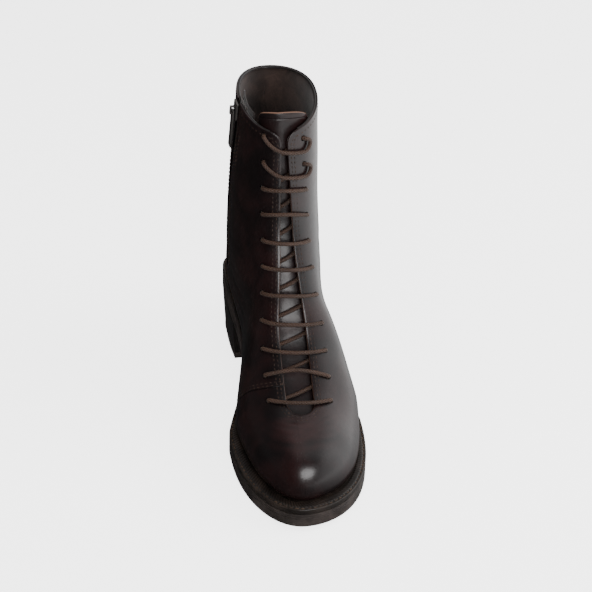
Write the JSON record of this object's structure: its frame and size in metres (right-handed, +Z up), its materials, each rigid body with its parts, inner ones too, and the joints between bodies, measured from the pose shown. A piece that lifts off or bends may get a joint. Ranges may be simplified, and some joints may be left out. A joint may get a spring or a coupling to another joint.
{
  "type": "lace up ankle boot",
  "caption": "Left ankle boot with welted sole, block heel, front lacing through punched eyelets and an inner side zip with a hinged pull tab.",
  "frame": {"origin": "centre of the heel's bottom face, on the floor", "axes": "+Z up, toe towards -Y, +X towards the outer side of the foot"},
  "size_m": [0.1005, 0.268, 0.2399],
  "materials": {
    "upper_leather": "polished dark oxblood brown",
    "lining_leather": "matt dark brown lining",
    "sole_rubber": "dark grey brown, satin edge",
    "welt_leather": "dark, stitched and wheeled",
    "heel_finish": "dark brown, semi gloss",
    "waxed_cord": "round waxed taupe cord",
    "zip_tape": "dark woven tape",
    "gunmetal": "dark polished gunmetal"
  },
  "bodies": {
    "boot": {"outsole": "sole_rubber", "welt": "welt_leather", "heel_block": "heel_finish", "top_piece": "sole_rubber", "insole": "lining_leather", "upper": "upper_leather", "tongue": "upper_leather", "lace": "waxed_cord", "zip_tape": "zip_tape", "zip_chain": "gunmetal", "zip_guard": "lining_leather", "zip_slider": "gunmetal"},
    "pull_tab": {"zip_pull_tab": "gunmetal"}
  },
  "joints": [
    {"name": "pull_tab_hinge", "type": "hinge", "parent": "boot", "child": "pull_tab", "pos_m": [-0.03058, -0.0287, 0.22865], "axis": [-0.0572, 0.9984, 0.004], "range_deg": [0, 170]}
  ]
}
